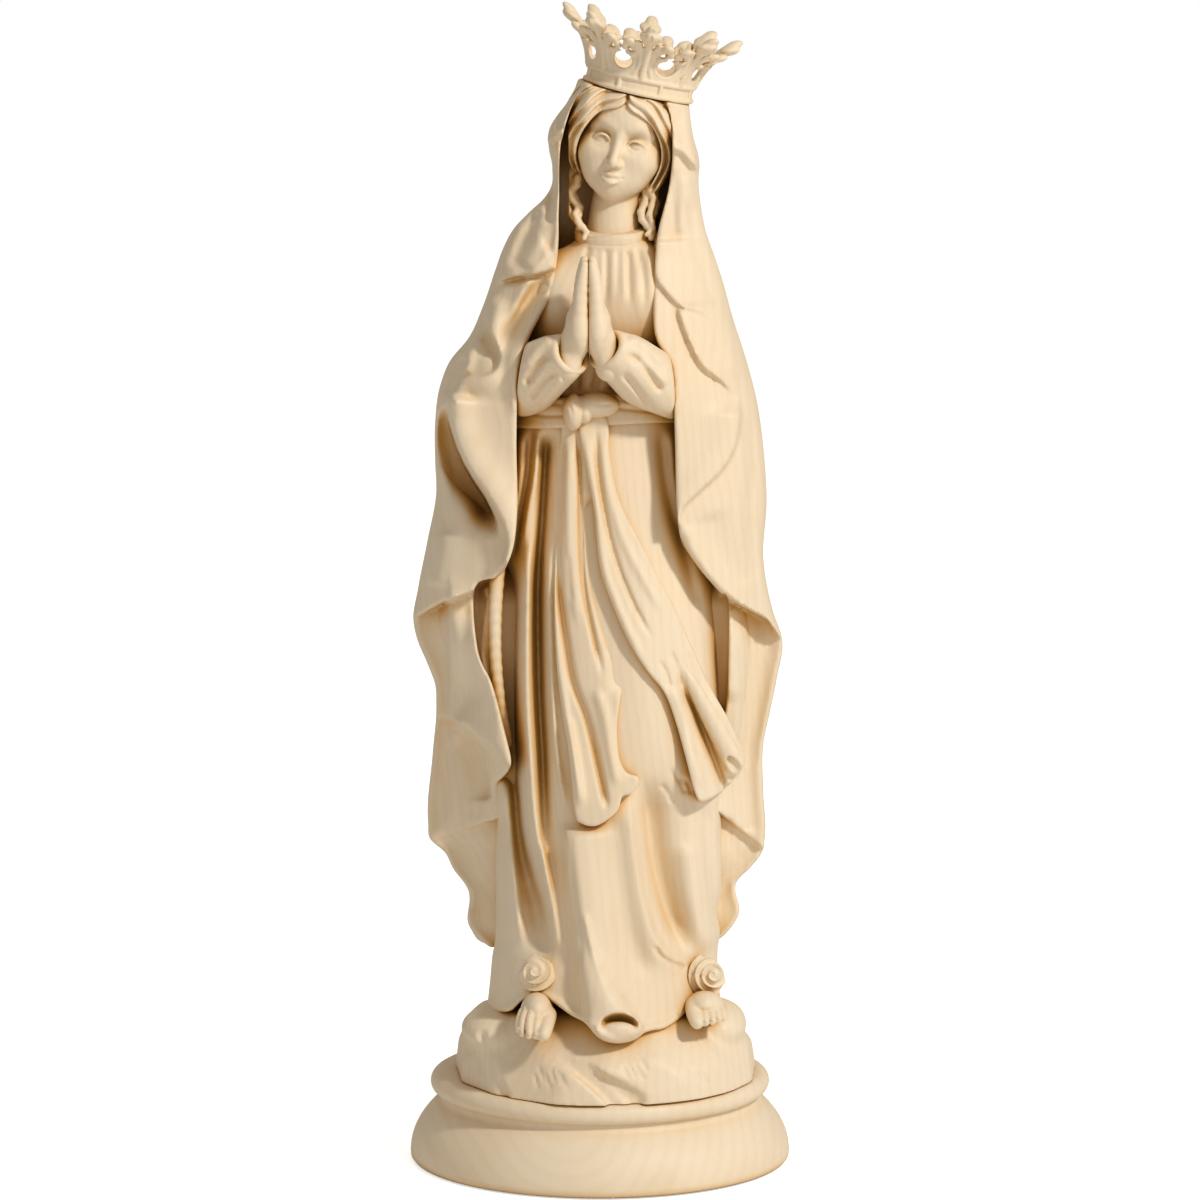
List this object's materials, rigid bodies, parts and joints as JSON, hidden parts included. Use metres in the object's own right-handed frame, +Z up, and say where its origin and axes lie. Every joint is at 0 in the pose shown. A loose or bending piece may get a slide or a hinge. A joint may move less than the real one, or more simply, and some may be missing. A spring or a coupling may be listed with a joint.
{
  "type": "carved madonna statue",
  "caption": "Carved wooden statue of a standing veiled Madonna with praying hands, a knotted sash and a lift-off openwork crown, on a rock and a round turned plinth.",
  "frame": {"origin": "centre of the plinth's underside, where the felt disc rests", "axes": "+Z up, the figure faces -Y, and +X is the figure's left"},
  "size_m": [0.196, 0.196, 0.5931],
  "materials": {
    "carved_wood": "satin",
    "fine_wood": "satin",
    "turned_wood": "satin",
    "dowel_wood": "matte",
    "screw_steel": "satin",
    "felt": "matte"
  },
  "bodies": {
    "figure": {"felt_disc": "felt", "plinth": "turned_wood", "plinth_screws": "screw_steel", "rock": "carved_wood", "core_dowel": "dowel_wood", "gown": "carved_wood", "mantle_left": "carved_wood", "mantle_right": "carved_wood", "mantle_back": "carved_wood", "collar": "carved_wood", "veil": "carved_wood", "crown_boss": "carved_wood", "head": "fine_wood", "hair": "fine_wood", "neck_dowel": "dowel_wood", "sash_band": "carved_wood", "sash_knot": "carved_wood", "sash_tail_right": "carved_wood", "sash_tail_left": "carved_wood", "right_sleeve": "carved_wood", "left_sleeve": "carved_wood", "right_hand": "fine_wood", "left_hand": "fine_wood", "wrist_dowels": "dowel_wood", "right_foot": "fine_wood", "left_foot": "fine_wood", "right_rose": "fine_wood", "left_rose": "fine_wood"},
    "crown": {"crown": "fine_wood"}
  },
  "joints": [
    {"name": "crown_lift", "type": "slide", "parent": "figure", "child": "crown", "axis": [0.2163, -0.0349, 0.9757], "range_m": [0, 0.06]}
  ]
}
